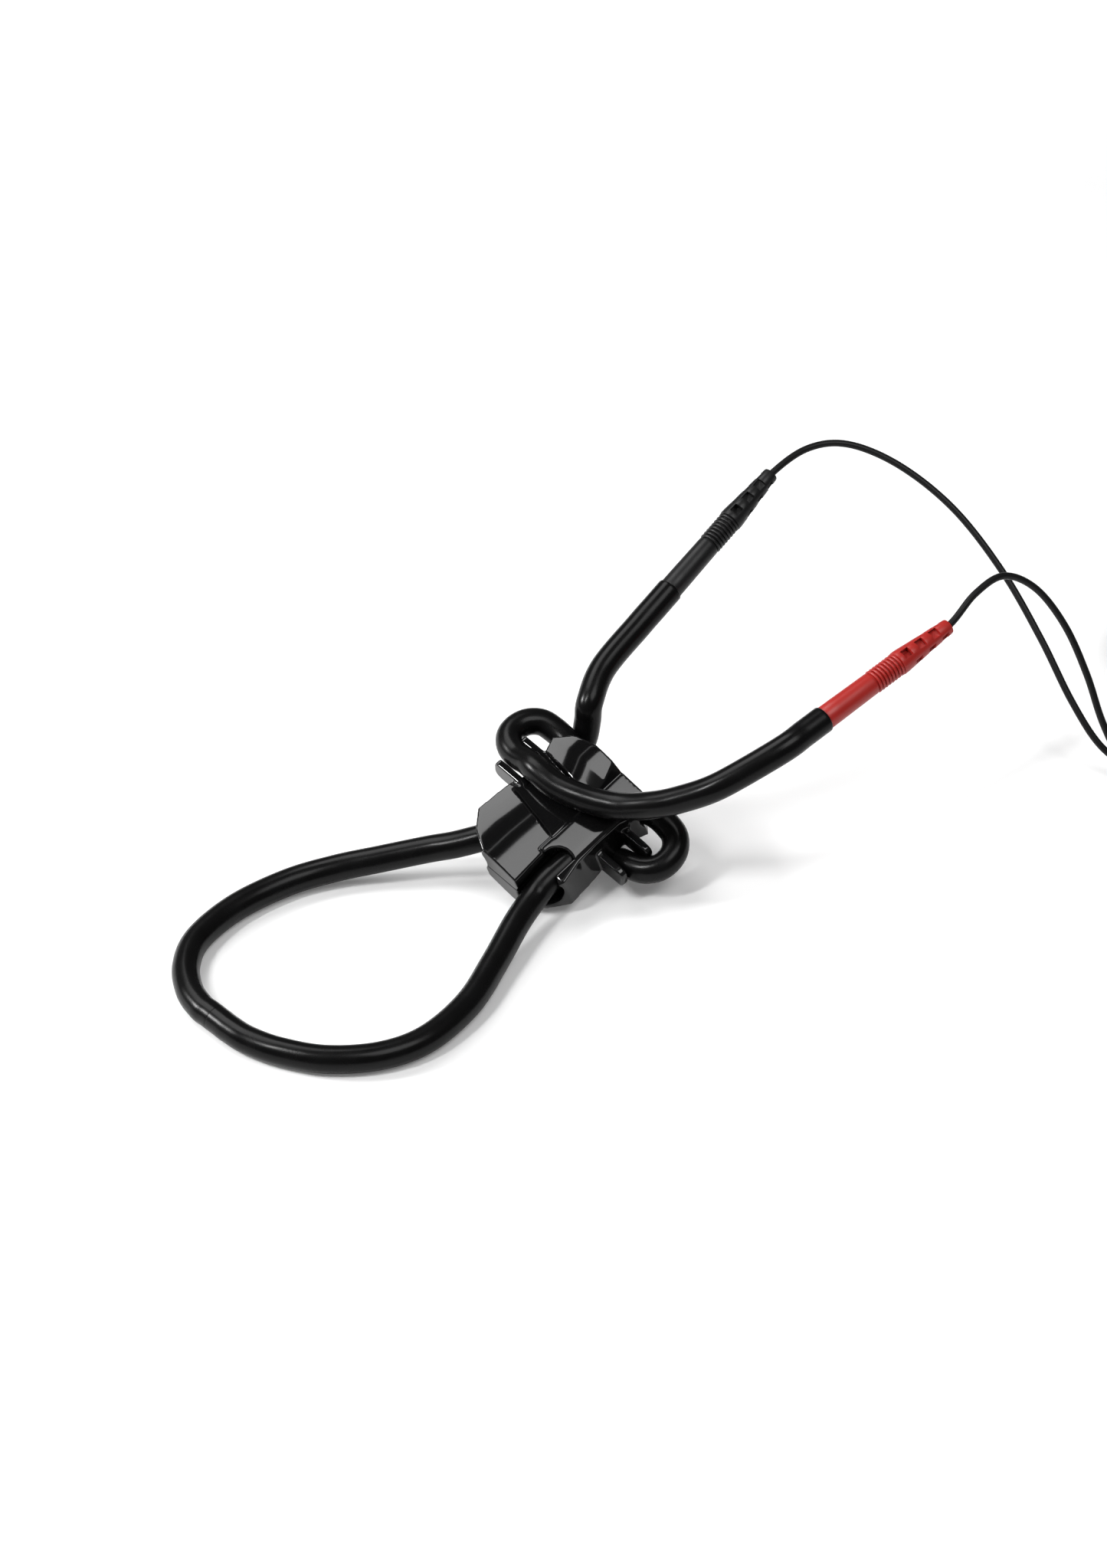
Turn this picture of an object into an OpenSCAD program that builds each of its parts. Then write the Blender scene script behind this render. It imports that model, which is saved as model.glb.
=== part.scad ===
// Adjustable rubber electrode loop with its slider, two lead plugs and lead.
// +X runs from the loop towards the plugs, +Z is up, and the floor is Z = 0.

/* [Tube] */
// Outer diameter of the conductive rubber tube
tube_d = 6.4; // [6:0.1:6.4]
// Bore at a tail's end, where a plug's pin goes in
tube_bore_d = 2.1; // [2.04:0.02:2.2]
// Depth of that bore
tube_bore_depth = 12; // [11:0.5:12]
// Diameter of the insulating joiner between the loop's two poles
joiner_d = 2.4; // [2:0.1:2.8]
// Length of the joiner
joiner_length = 9; // [7:0.5:9]

/* [Slider] */
// Length of the slider from nose to back
slider_length = 38; // [37:0.5:38]
// Distance between the two tunnel centrelines
tunnel_spacing = 16.6; // [16.4:0.1:16.8]
// Clearance round the tube in its tunnel
tunnel_gap = 0.3; // [0.25:0.05:0.35]
// Wall over the tunnels
tunnel_wall = 1; // [0.9:0.1:1.1]
// Rise of the crown's middle above the wing's edge
crown_rise = 1.5; // [1.2:0.1:1.7]
// How far the cord fingers reach from the slider's axis
finger_reach = 20.5; // [18:0.5:21]
// Thickness of a cord finger
finger_thickness = 1.8; // [1.6:0.1:1.8]
// Diameter of the locating pegs between the halves
peg_d = 2; // [1.6:0.1:2]

/* [Slider pose] */
// Upward tilt of the slider from loop to tails, in degrees
slider_pitch = 16.5; // [16.5:0.5:16.5]
// Sideways roll of the slider, in degrees
slider_roll = 15.5; // [15.5:0.5:15.5]

/* [Plugs] */
// Diameter of a plug's contact pin
pin_d = 2; // [1.9:0.02:2]
// Length of a contact pin outside its moulding
pin_length = 10.5; // [9:0.5:11]
// Length of a plug's moulding
plug_length = 39.5; // [39.5:0.5:40]
// Diameter of a plug's moulding where it meets the tube
plug_d = 5.7; // [5.4:0.1:6]
// Number of grip ribs on a plug
rib_count = 8; // [6:1:8]
// Number of windows along one side of a strain relief
window_count = 3; // [2:1:3]
// Turn of the windows about the plug's own axis, in degrees
window_turn = 20; // [0:1:45]
// Diameter of a crimp barrel
crimp_d = 2.8; // [2.6:0.1:3]

/* [Lead] */
// Diameter of each plug's lead branch
branch_d = 1.7; // [1.5:0.1:1.7]
// Diameter of the main lead
lead_d = 2.2; // [2:0.1:2.2]
// Layers in the stored coil
coil_layers = 4; // [4:1:4]
// Turns in the stored coil
coil_turns = 11.25; // [11.25:1:11.25]
// Radius of the coil's outermost turn, at the lead's middle
coil_outer_r = 16; // [16:0.5:16]
// Thickness of a coil tie
tie_thickness = 0.9; // [0.7:0.1:0.9]
// Width of a coil tie
tie_width = 6; // [4:0.5:8]

/* [Jack] */
// Diameter of the jack's sleeve contact
jack_d = 3.5; // [3.5:0.1:3.5]
// Length of the sleeve contact
sleeve_length = 9; // [8:0.5:9]
// Diameter of the jack's moulding
jack_body_d = 7.6; // [7:0.1:7.6]
// Length of the jack's moulding
jack_body_length = 17; // [15:0.5:17]
// Length of the jack's strain relief
jack_relief_length = 9; // [9:0.5:9]

/* [Hidden] */
$fn = 48;
tube_r = tube_d / 2;
half_length = slider_length / 2;
tunnel_v = tunnel_spacing / 2;
tunnel_r = tube_r + tunnel_gap;
roof_r = tunnel_r + tunnel_wall;
seam_w = 3.6;
lobe_start = -9.3;
lobe_end = 18;
roof_slope = 9;
roof_end_v = -2.9;
crown_start = -11.3;
crown_end = 14;
mouth_u = -9;
mouth_r = 3.9;
bend_start = 10.5;
bend_r = 6.7;
joint_u = 9;
flare_start = -8;
peg_r = peg_d / 2;
peg_height = 1.6;
finger_u = [0.7, 9.1];
pin_r = pin_d / 2;
wire_bore_r = branch_d / 2 + 0.05;
crimp_start = 1;
crimp_end = 13.5;
window_size = 2.3;
window_pitch = 4.5;

// The slider's middle, and its own three directions
slider_centre = [1, 0.5, 14];
along = [cos(slider_pitch), 0, sin(slider_pitch)];
across = [-sin(slider_pitch) * sin(slider_roll), cos(slider_roll), cos(slider_pitch) * sin(slider_roll)];
upward = [-sin(slider_pitch) * cos(slider_roll), -sin(slider_roll), cos(slider_pitch) * cos(slider_roll)];
function from_slider(p) = slider_centre + p.x * along + p.y * across + p.z * upward;
function turned_over(p) = [p.x, -p.y, -p.z];

// The plugs: where each tail ends, and the pitch and yaw of each plug there
red_end = [47, -38.5, 42];
red_pitch = 11;
red_yaw = -4;
black_end = [57, 20.5, 42];
black_pitch = 20.5;
black_yaw = 4.5;
function axis_of(pitch, yaw) = [cos(pitch) * cos(yaw), cos(pitch) * sin(yaw), sin(pitch)];
red_axis = axis_of(red_pitch, red_yaw);
black_axis = axis_of(black_pitch, black_yaw);

// The loop's tip, where the two poles meet
loop_tip = [-91.5, 14.5, tube_r];
tip_straight = 5;

// Each side of the loop, from its tunnel to the tip
red_loop_route = concat(
    [for (p = [[flare_start, tunnel_v, 0], [-10, 8.5, 0], [-12.7, 9.4, -0.2], [-15.4, 11.4, -0.8]])
        from_slider(p)],
    [[-18.2, 15.5, 10], [-22.5, 20, 8.4], [-31, 27, 6.2], [-39.5, 33.3, 4.5], [-50, 38.1, 3.5],
     [-64, 40, tube_r], [-77, 37.8, tube_r], [-85, 32.5, tube_r], [-89.8, 25.5, tube_r],
     [-91.5, 19.5, tube_r]]);
black_loop_route = concat(
    [for (p = [[lobe_start, -tunnel_v, 0], [-13, -tunnel_v, 0], [-17.5, -8.8, -0.4]]) from_slider(p)],
    [[-23, -10.5, 5.3], [-35, -15.8, 4], [-48, -21.1, 3.4], [-62, -23, tube_r], [-73, -20, tube_r],
     [-82.5, -12.5, tube_r], [-88.2, -3.5, tube_r], [-90.9, 4, tube_r], [-91.5, 9.5, tube_r]]);

// Both tails leave their tunnels by the same curl, turned over for the black pole
curl = [[bend_start, tunnel_v, 0], [13.1, 8.8, 0], [15.3, 10.3, 0], [16.7, 12.5, 0], [17.2, 15, 0],
        [17.2, 18, 0.3], [16.5, 21.2, 0.8], [14.2, 23.5, 1.2], [11.2, 24.3, 1.6], [8.2, 23.6, 2.2],
        [6, 21.3, 3], [5, 18, 3.9], [4.8, 14.5, 5.6], [4.1, 11, 7.3]];
red_tail_route = concat(
    [for (p = curl) from_slider(p)],
    [for (p = [[3.8, 5, 8], [4.8, -0.5, 8.8], [6.8, -6.2, 9.6], [9.4, -11.6, 11]]) from_slider(p)],
    [[11.2, -20.5, 26.6], [14.7, -25.2, 29], [19.5, -30.3, 32.3], [26, -33.9, 35.6],
     red_end - tube_bore_depth * red_axis]);
black_tail_route = concat(
    [for (p = curl) from_slider(turned_over(p))],
    [for (p = [[3.6, -5, -8.1], [3.6, 2, -8.3], [5.8, 8, -8.8], [10, 11.8, -9.4], [15, 13, -9.2],
               [19, 12.6, -7.2], [22, 12.8, -3.6], [24.5, 14, 0.5], [27, 15.6, 4]]) from_slider(p)],
    [[32.4, 17.9, 33.3], black_end - tube_bore_depth * black_axis]);

// The lead's splitter, coil and jack, all lying on the floor
splitter_base = [136, -73.5, 2.2];
splitter_yaw = 40;
splitter_length = 14;
branch_spacing = 3.8;
splitter_axis = axis_of(0, splitter_yaw);
splitter_side = [-sin(splitter_yaw), cos(splitter_yaw), 0];
coil_centre = [168, -49.5, tie_thickness + 0.1 + lead_d / 2];
coil_step = 2.7;
layer_turns = coil_turns / coil_layers;
rings_per_turn = 24;
jack_start = [191.5, -38.5, jack_body_d / 2];

red_lead_route = [
    red_end + crimp_end * red_axis, red_end + 26 * red_axis, red_end + plug_length * red_axis,
    [95.8, -40.3, 53.2], [105, -41, 54], [112.5, -45, 48.5], [116.5, -51.5, 39], [117.5, -58.5, 28],
    [117, -65, 17.5], [118, -71.5, 8.5], [122, -76.7, 3.4], [129, -77.7, 2.2],
    splitter_base - branch_spacing / 2 * splitter_side - 3 * splitter_axis,
    splitter_base - branch_spacing / 2 * splitter_side];
black_lead_route = [
    black_end + crimp_end * black_axis, black_end + 26 * black_axis, black_end + plug_length * black_axis,
    [106, 22.6, 58], [114.5, 17, 57.8], [120.5, 5.5, 54.3], [123.8, -9.5, 47.5], [124, -25.5, 37.5],
    [122, -40.5, 26.5], [119.5, -53.5, 16], [119.5, -63.5, 8], [123.5, -71, 3.2], [129, -73.8, 2.2],
    splitter_base + branch_spacing / 2 * splitter_side - 3 * splitter_axis,
    splitter_base + branch_spacing / 2 * splitter_side];
main_lead_route = [
    splitter_base + splitter_length * splitter_axis,
    splitter_base + (splitter_length + 2.5) * splitter_axis, [151, -59, 2.1],
    coil_centre + [-coil_outer_r, -5, 0], coil_centre + [-coil_outer_r, -lead_d, 0]];
coil_top = coil_centre + [0, coil_outer_r, (coil_layers - 1) * coil_step];
jack_lead_route = [
    coil_top + [lead_d, 0, 0], coil_top + [6, 0, -0.4], [181.5, -32.7, 7.4], [188, -33.1, 5.2],
    jack_start + [-0.4, 3, 0], jack_start];

// ---- swept tubes --------------------------------------------------------
function unit(v) = v / norm(v);
function curve_point(p, i, t) =
    let (last = len(p) - 1,
         a = p[max(i - 1, 0)], b = p[i], c = p[i + 1], d = p[min(i + 2, last)])
    (2 * b + (c - a) * t + (2 * a - 5 * b + 4 * c - d) * pow(t, 2) + (3 * b - a - 3 * c + d) * pow(t, 3)) / 2;
function smoothed(p, steps) = concat(
    [for (i = [0:len(p) - 2], k = [0:steps - 1]) curve_point(p, i, k / steps)],
    [p[len(p) - 1]]);
function heading(p, i) = unit(p[min(i + 1, len(p) - 1)] - p[max(i - 1, 0)]);
function sides_along(p, side, i = 0, done = []) =
    i == len(p) ? done
    : let (t = heading(p, i), s = unit(side - (side * t) * t)) sides_along(p, s, i + 1, concat(done, [s]));

// Faces between rings of points; each end is a fan of triangles round the ring's point number hub
function loft_faces(rings, sides, hub = 0) = concat(
    [for (j = [1:sides - 2]) [hub, (hub + j) % sides, (hub + j + 1) % sides]],
    [for (j = [1:sides - 2])
        let (last = (rings - 1) * sides)
        [last + hub, last + (hub + j + 1) % sides, last + (hub + j) % sides]],
    [for (i = [0:rings - 2], j = [0:sides - 1])
        [i * sides + j, (i + 1) * sides + j, (i + 1) * sides + (j + 1) % sides]],
    [for (i = [0:rings - 2], j = [0:sides - 1])
        [i * sides + j, (i + 1) * sides + (j + 1) % sides, i * sides + (j + 1) % sides]]);

module sweep(p, d, sides, side = [0, 0, 1]) {
    s = sides_along(p, side);
    points = [for (i = [0:len(p) - 1], k = [0:sides - 1])
        let (a = 360 * k / sides)
        p[i] + d / 2 * (cos(a) * s[i] + sin(a) * cross(heading(p, i), s[i]))];
    polyhedron(points, loft_faces(len(p), sides), convexity = 10);
}

module along_axis(start, pitch, yaw) {
    translate(start)
        rotate([0, -pitch, yaw])
            children();
}

module rod(r, from, to) {
    translate([from, 0, 0])
        rotate([0, 90, 0])
            cylinder(r = r, h = to - from);
}

// ---- slider -------------------------------------------------------------
// Outline of one half against the distance along the slider: the wing's edge on one side,
// the crease beside the other tunnel's lobe, and the flank under the wing
function wing_v(u) = lookup(u, [
    [-half_length, 6], [-15.9, 11.2], [crown_start, 15], [-1.6, 14.4], [1.5, 13.7], [7, 13.7],
    [9.8, 14], [crown_end, 15.4], [17.7, 11.5], [half_length, 6]]);
function wing_w(u) = lookup(u, [
    [crown_start, 4.4], [-1.6, 4.1], [1.5, 3], [7, 3], [9.8, 4.1], [crown_end, 4.4]]);
function crease_v(u) = lookup(u, [
    [-half_length, -4.2], [-4.4, -3.4], [9, -2.6], [crown_end, -1.2], [half_length, 0.8]]);
function crease_w(u) = lookup(u, [[crown_start, 4.2], [-4.4, 4.4], [9, 4.3], [crown_end, 4]]);
function flank_v(u) = lookup(u, [
    [-half_length, 6.6], [-15.9, 10.8], [crown_start, 12.6], [-5, 11.2], [1, 11], [8.5, 11.2],
    [12, 12.6], [crown_end, 12.6], [17.7, 10.6], [half_length, 6.6]]);
function inner_v(u) = lookup(u, [
    [-half_length, 6.1], [-15.9, 9.2], [crown_start, 9.9], [crown_end, 9.9], [17.7, 8.6],
    [half_length, 6.1]]);
function skirt_w(u) = lookup(u, [
    [-half_length, 0.4], [-15.9, 1], [crown_start, seam_w], [crown_end, seam_w], [17.7, 1],
    [half_length, 0.4]]);

base_v = -6;
top_steps = 10;
// The crown's round section runs on unchanged into the narrowing nose and back
function top_point(u, step) =
    let (v = crease_v(u) + (wing_v(u) - crease_v(u)) * step,
         full = min(max(u, crown_start), crown_end),
         t = (v - crease_v(full)) / (wing_v(full) - crease_v(full)))
    [v, crease_w(full) + (wing_w(full) - crease_w(full)) * t + crown_rise * sin(180 * t)];
function half_section(u) = concat(
    [[base_v, 0], [inner_v(u), 0], [inner_v(u), -skirt_w(u)], [flank_v(u), -skirt_w(u)]],
    [for (i = [top_steps:-1:0]) top_point(u, i / top_steps)]);

stations = [
    -half_length, -17.5, -15.9, -13.6, crown_start, -8, -5, -3.5, -1.6, 1.5, 4, 7, 9.8, 12, crown_end,
    16, 17.7, half_length];

module crown() {
    points = [for (u = stations) each [for (p = half_section(u)) [u, p[0], p[1]]]];
    polyhedron(points, loft_faces(len(stations), top_steps + 5, 1), convexity = 6);
}

// The lobe over the other half's tunnel: round outside, then a flat roof that slopes up to the crown
module lobe() {
    roof_start = [-tunnel_v - roof_r * sin(roof_slope), roof_r * cos(roof_slope)];
    roof_end_w = roof_r / cos(roof_slope) + (tunnel_v + roof_end_v) * tan(roof_slope);
    translate([lobe_start, 0, 0])
        rotate([90, 0, 90])
            linear_extrude(lobe_end - lobe_start)
                intersection() {
                    union() {
                        translate([-tunnel_v, 0]) circle(r = roof_r);
                        polygon([[-tunnel_v, 0], [roof_end_v, 0], [roof_end_v, roof_end_w], roof_start]);
                    }
                    union() {
                        translate([-9.9, 0]) square([tunnel_v, 2 * roof_r]);
                        translate([-tunnel_v - roof_r, seam_w]) square([tunnel_v, roof_r]);
                    }
                }
}

// Two flat fingers that hold the crossing tail
module fingers() {
    for (u = finger_u)
        translate([u - finger_thickness / 2, 0, 0])
            rotate([90, 0, 90])
                linear_extrude(finger_thickness)
                    hull() {
                        translate([11, -1]) square([1, 6]);
                        translate([finger_reach - 2, 3]) circle(r = 2);
                        translate([finger_reach - 2, 1]) circle(r = 2);
                    }
}

// One tunnel: straight, opening sideways towards the loop and curling out at the back
module tunnel() {
    translate([0, tunnel_v, 0])
        rod(tunnel_r, -half_length - 1, bend_start);
    translate([bend_start, tunnel_v + bend_r, 0])
        rotate([0, 0, -90])
            rotate_extrude(angle = 90)
                translate([bend_r, 0]) circle(r = tunnel_r);
    for (r = [10.5, 16, 32])
        translate([flare_start, tunnel_v + r, 0])
            rotate([0, 0, 180])
                rotate_extrude(angle = 90)
                    translate([r, 0]) circle(r = tunnel_r);
}

// The tunnel's mouth towards the loop, open from above, with a round end
module tunnel_mouth() {
    translate([0, 0, 1])
        linear_extrude(6)
            hull() {
                translate([mouth_u, -tunnel_v]) circle(r = mouth_r);
                translate([-half_length - mouth_r, -tunnel_v - 1]) circle(r = mouth_r);
            }
}

module waist_channel() {
    translate([0, 0, roof_r])
        linear_extrude(6)
            polygon([[-5.4, -3.2], [8, -3.2], [8.6, 3], [9.3, 9.1], [9.8, 12.5], [11.5, 24], [-0.1, 24]]);
}

module slider_half() {
    difference() {
        union() {
            crown();
            lobe();
            fingers();
            for (u = [-13, 13])
                translate([u, 1.6, -peg_height]) cylinder(r = peg_r, h = peg_height + 1);
        }
        tunnel();
        mirror([0, 1, 0]) tunnel();
        tunnel_mouth();
        waist_channel();
        for (u = [-13, 13])
            translate([u, -1.6, -1]) cylinder(r = peg_r + 0.05, h = peg_height + 1.4);
    }
}

module in_slider() {
    translate(slider_centre)
        rotate([0, -slider_pitch, 0])
            rotate([slider_roll, 0, 0])
                children();
}

module slider_upper_half() {
    color("dimgray") in_slider() slider_half();
}

module slider_lower_half() {
    color("black") in_slider() rotate([180, 0, 0]) slider_half();
}

// ---- rubber tube --------------------------------------------------------
// A swept stretch is a little slimmer than the straight rods, and runs into them by a short lap
swept_d = tube_d - 0.15;
lap = 0.5;

// One side of the loop: straight in its tunnel, swept round to the tip, bored for the joiner
module loop_side(route, v, straight_to, tip_turn) {
    in_slider() translate([0, v, 0]) rod(tube_r, straight_to - lap, joint_u);
    sweep(smoothed(route, 2), swept_d, 12, upward);
    translate(loop_tip)
        rotate([0, 0, tip_turn])
            difference() {
                rod(tube_r, 0, tip_straight + lap);
                rod(joiner_d / 2 + 0.05, -1, joiner_length / 2);
            }
}

module red_loop_tube() {
    color("black") loop_side(red_loop_route, tunnel_v, flare_start, 90);
}

module black_loop_tube() {
    color("black") loop_side(black_loop_route, -tunnel_v, lobe_start, -90);
}

module loop_joiner() {
    color("ivory")
        translate(loop_tip)
            rotate([0, 0, 90])
                rod(joiner_d / 2, -joiner_length / 2, joiner_length / 2);
}

// One tail: straight out of its tunnel, swept to its plug, bored for the plug's pin
module tail(route, v, end, pitch, yaw) {
    in_slider() translate([0, v, 0]) rod(tube_r, joint_u, bend_start + lap);
    sweep(smoothed(route, 2), swept_d, 12, upward);
    along_axis(end, pitch, yaw)
        difference() {
            rod(tube_r, -tube_bore_depth - lap, 0);
            rod(tube_bore_d / 2, 0.5 - tube_bore_depth, 1);
        }
}

module red_tail_tube() {
    color("black") tail(red_tail_route, tunnel_v, red_end, red_pitch, red_yaw);
}

module black_tail_tube() {
    color("black") tail(black_tail_route, -tunnel_v, black_end, black_pitch, black_yaw);
}

// ---- plugs --------------------------------------------------------------
body_length = 15;
rib_pitch = 1;
relief_start = body_length + rib_count * rib_pitch + 0.3;
plug_profile = concat(
    [[0, 0], [plug_d / 2, 0], [plug_d / 2 - 0.15, body_length]],
    [for (i = [0:rib_count - 1]) each [
        [2.45, body_length + 0.1 + i * rib_pitch], [2.45, body_length + 0.4 + i * rib_pitch],
        [2.85, body_length + 0.5 + i * rib_pitch], [2.85, body_length + 1 + i * rib_pitch]]],
    [[2.95, relief_start], [2.9, relief_start + 1.5], [1.85, plug_length], [0, plug_length]]);

module plug_moulding() {
    difference() {
        rotate([0, 90, 0])
            rotate_extrude() polygon(plug_profile);
        rod(crimp_d / 2 + 0.05, -1, crimp_end);
        rod(wire_bore_r, crimp_end - 1, plug_length + 1);
        for (i = [0:window_count - 1], side = [0:3])
            translate([relief_start + 1.2 + window_pitch * (i + (side % 2) / 2), 0, 0])
                rotate([90 * side + window_turn, 0, 0])
                    translate([0, -window_size / 2, 0.5]) cube([window_size, window_size, 3]);
    }
}

module plug_pin() {
    rod(pin_r, 0.5 - pin_length, 3);
    translate([0.5 - pin_length, 0, 0])
        rotate([0, -90, 0])
            cylinder(r1 = pin_r, r2 = pin_r - 0.5, h = 0.5);
    rod(crimp_d / 2, 0, crimp_start);
}

module plug_crimp() {
    difference() {
        rod(crimp_d / 2, crimp_start, crimp_end);
        rod(pin_r + 0.02, crimp_start - 1, 3.2);
    }
}

module red_plug_moulding() {
    color("indianred") along_axis(red_end, red_pitch, red_yaw) plug_moulding();
}

module red_plug_pin() {
    color("silver") along_axis(red_end, red_pitch, red_yaw) plug_pin();
}

module red_plug_crimp() {
    color("goldenrod") along_axis(red_end, red_pitch, red_yaw) plug_crimp();
}

module black_plug_moulding() {
    color("dimgray") along_axis(black_end, black_pitch, black_yaw) plug_moulding();
}

module black_plug_pin() {
    color("silver") along_axis(black_end, black_pitch, black_yaw) plug_pin();
}

module black_plug_crimp() {
    color("goldenrod") along_axis(black_end, black_pitch, black_yaw) plug_crimp();
}

// ---- lead ---------------------------------------------------------------
module red_lead_wire() {
    color("black") sweep(smoothed(red_lead_route, 1), branch_d, 8);
}

module black_lead_wire() {
    color("black") sweep(smoothed(black_lead_route, 1), branch_d, 8);
}

module lead_splitter() {
    color("black")
        translate(splitter_base)
            rotate([0, 0, splitter_yaw])
                hull() {
                    for (y = [-1, 1])
                        translate([0, y * branch_spacing / 2, 0])
                            rotate([0, 90, 0])
                                cylinder(d = 3.6, h = 7, $fn = 32);
                    translate([splitter_length - 1, 0, 0])
                        rotate([0, 90, 0])
                            cylinder(d = 3.2, h = 1, $fn = 32);
                }
}

module main_lead_wire() {
    color("black") sweep(smoothed(main_lead_route, 2), lead_d, 8);
}

// The coil winds in and out by turns, and climbs a layer in the half turn at each reversal
function to_and_fro(t) =
    let (layer = floor(t / layer_turns), done = t - layer * layer_turns)
    layer % 2 == 0 ? done : layer_turns - done;
function climbed(t) = coil_step * lookup(t, [for (k = [1:coil_layers - 1], e = [-1, 1])
    [k * layer_turns + 0.25 * e, k - 0.5 + 0.5 * e]]);
function coil_point(t) =
    let (r = coil_outer_r - coil_step * to_and_fro(t), a = 180 - 360 * t)
    coil_centre + [r * cos(a), r * sin(a), climbed(t)];
coil_rings = coil_turns * rings_per_turn;
coil_path = concat(
    [coil_centre + [-coil_outer_r, -lead_d, 0]],
    [for (i = [0:coil_rings - 1]) coil_point(i / rings_per_turn)],
    [coil_top, coil_top + [lead_d, 0, 0]]);
// The least gap between the coil's turns, in mm
coil_gap = min([for (i = [0:coil_rings - 13], j = [i + 12:coil_rings - 1])
    norm(coil_point(i / rings_per_turn) - coil_point(j / rings_per_turn))]) - lead_d;
echo(coil_gap = coil_gap);

module main_lead_coil() {
    color("black") sweep(coil_path, lead_d, 6);
}

module coil_ties() {
    innermost_r = coil_outer_r - coil_step * layer_turns - lead_d / 2;
    inner = sqrt(pow(innermost_r, 2) - pow(tie_width / 2, 2)) - 0.1;
    span = coil_outer_r + lead_d / 2 + 0.1 - inner;
    height = (coil_layers - 1) * coil_step + lead_d + 0.2;
    color("black")
        for (a = [0, -90])
            translate([coil_centre.x, coil_centre.y, 0])
                rotate([0, 0, a])
                    translate([0, -tie_width / 2, 0])
                        difference() {
                            translate([inner - tie_thickness, 0, 0])
                                cube([span + 2 * tie_thickness, tie_width, height + 2 * tie_thickness]);
                            translate([inner, -1, tie_thickness])
                                cube([span, tie_width + 2, height]);
                        }
}

module jack_lead_wire() {
    color("black") sweep(smoothed(jack_lead_route, 2), lead_d, 8);
}

// ---- jack ---------------------------------------------------------------
module at_jack() {
    translate(jack_start)
        rotate([0, 0, -90])
            children();
}

module turned(profile) {
    rotate([0, 90, 0])
        rotate_extrude() polygon(profile);
}

jack_face = jack_relief_length + jack_body_length;
insulator_length = 0.6;
insulator_r = jack_d / 2 - 0.3;

module jack_strain_relief() {
    color("black") at_jack()
        turned([[0, 0], [1.4, 0], [1.8, jack_relief_length], [0, jack_relief_length]]);
}

module jack_moulding() {
    r = jack_body_d / 2;
    color("black") at_jack()
        turned([[0, jack_relief_length], [2.2, jack_relief_length], [r - 0.6, jack_relief_length + 3],
                [r, jack_relief_length + 5], [r, jack_face - 0.8], [r - 0.8, jack_face], [0, jack_face]]);
}

module jack_sleeve() {
    color("silver") at_jack() rod(jack_d / 2, jack_face, jack_face + sleeve_length);
}

module jack_insulator() {
    start = jack_face + sleeve_length;
    color("black") at_jack() rod(insulator_r, start, start + insulator_length);
}

module jack_tip() {
    start = jack_face + sleeve_length + insulator_length;
    color("silver") at_jack()
        turned([[0, start], [insulator_r, start], [jack_d / 2 - 0.05, start + 0.4], [1.2, start + 1.3],
                [jack_d / 2 - 0.1, start + 2.2], [0.5, start + 3.8], [0, start + 4]]);
}

slider_upper_half();
slider_lower_half();
red_loop_tube();
black_loop_tube();
loop_joiner();
red_tail_tube();
black_tail_tube();
red_plug_moulding();
red_plug_pin();
red_plug_crimp();
black_plug_moulding();
black_plug_pin();
black_plug_crimp();
red_lead_wire();
black_lead_wire();
lead_splitter();
main_lead_wire();
main_lead_coil();
coil_ties();
jack_lead_wire();
jack_strain_relief();
jack_moulding();
jack_sleeve();
jack_insulator();
jack_tip();
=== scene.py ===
# An adjustable rubber electrode loop: thick conductive rubber tube drawn through a glossy moulded slider,
# its two tails on a red and a black pin plug, and the thin forked lead that feeds them.
import math

import bpy
import numpy as np
from mathutils import Matrix, Vector


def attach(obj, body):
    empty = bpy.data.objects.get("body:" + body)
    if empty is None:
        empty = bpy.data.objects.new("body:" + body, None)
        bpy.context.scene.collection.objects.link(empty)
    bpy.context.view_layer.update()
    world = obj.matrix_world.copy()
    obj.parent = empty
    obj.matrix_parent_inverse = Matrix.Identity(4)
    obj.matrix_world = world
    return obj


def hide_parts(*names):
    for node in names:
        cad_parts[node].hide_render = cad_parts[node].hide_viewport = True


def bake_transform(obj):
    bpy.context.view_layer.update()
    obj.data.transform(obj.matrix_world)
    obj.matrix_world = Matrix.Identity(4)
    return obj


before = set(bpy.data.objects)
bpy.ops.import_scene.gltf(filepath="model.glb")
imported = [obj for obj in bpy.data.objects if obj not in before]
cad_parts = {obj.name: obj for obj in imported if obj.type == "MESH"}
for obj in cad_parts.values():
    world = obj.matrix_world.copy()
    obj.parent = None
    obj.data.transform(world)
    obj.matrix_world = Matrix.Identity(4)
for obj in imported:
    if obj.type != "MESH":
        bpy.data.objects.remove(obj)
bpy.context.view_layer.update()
mm = 0.001


# ---- Camera -------------------------------------------------------------------------------------------
# It looks down at the slider from the loop's side, with a long lens. The small shift puts the slider a
# little below the middle of the tall frame.
slider_centre = Vector((1, 0.5, 14)) * mm
camera_turn = math.radians(-44)
camera_height = math.radians(40)
camera_distance = 0.9
camera = bpy.data.objects.new("camera", bpy.data.cameras.new("camera"))
bpy.context.scene.collection.objects.link(camera)
bpy.context.scene.camera = camera
to_camera = Vector((
    math.sin(camera_turn) * math.cos(camera_height),
    -math.cos(camera_turn) * math.cos(camera_height),
    math.sin(camera_height)))
camera.location = slider_centre + camera_distance * to_camera
camera.rotation_euler = (-to_camera).to_track_quat("-Z", "Y").to_euler()
camera.data.lens = 89.4
camera.data.shift_x = -0.0034
camera.data.shift_y = 0.0258
camera.data.clip_start = 0.01
camera.data.clip_end = 20
bpy.context.scene.view_settings.view_transform = "Standard"


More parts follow.
